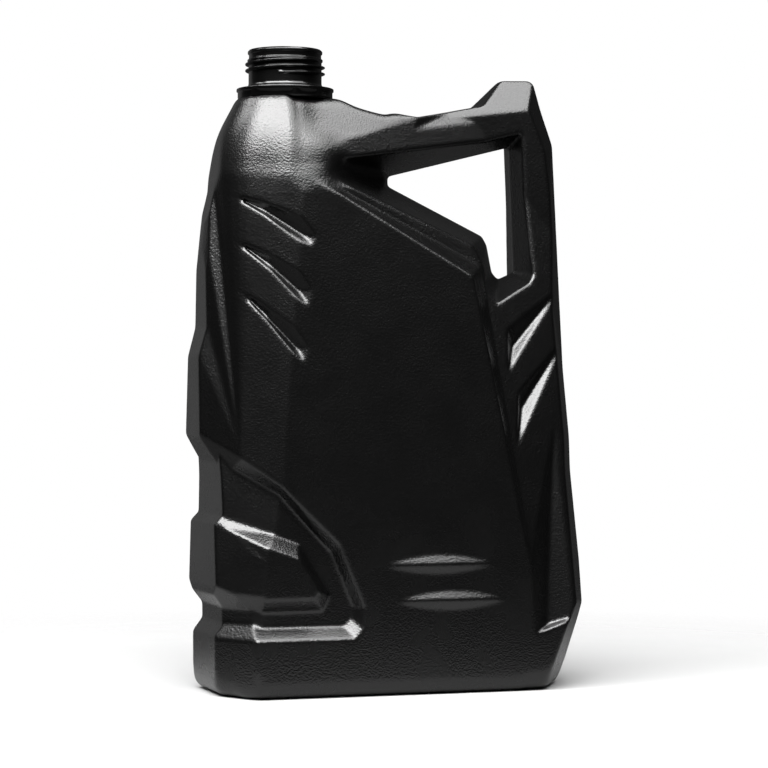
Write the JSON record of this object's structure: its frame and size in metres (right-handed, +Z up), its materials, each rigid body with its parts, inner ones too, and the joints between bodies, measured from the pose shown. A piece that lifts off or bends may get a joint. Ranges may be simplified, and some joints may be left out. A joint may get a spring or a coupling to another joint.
{
  "type": "blow-moulded motor oil bottle",
  "caption": "Hollow black jerry-style plastic oil bottle with offset threaded neck, through handle, faceted corner, recessed corner band, claw grooves, gills and grip ribs.",
  "frame": {"origin": "centre of the footprint box, on the ground plane", "axes": "+Z up, +X towards the handle side, -Y towards the front face with the large flat panel"},
  "size_m": [0.2058, 0.0988, 0.3342],
  "materials": {
    "hdpe": "satin"
  },
  "bodies": {
    "root": {"bottle": "hdpe"}
  },
  "joints": []
}
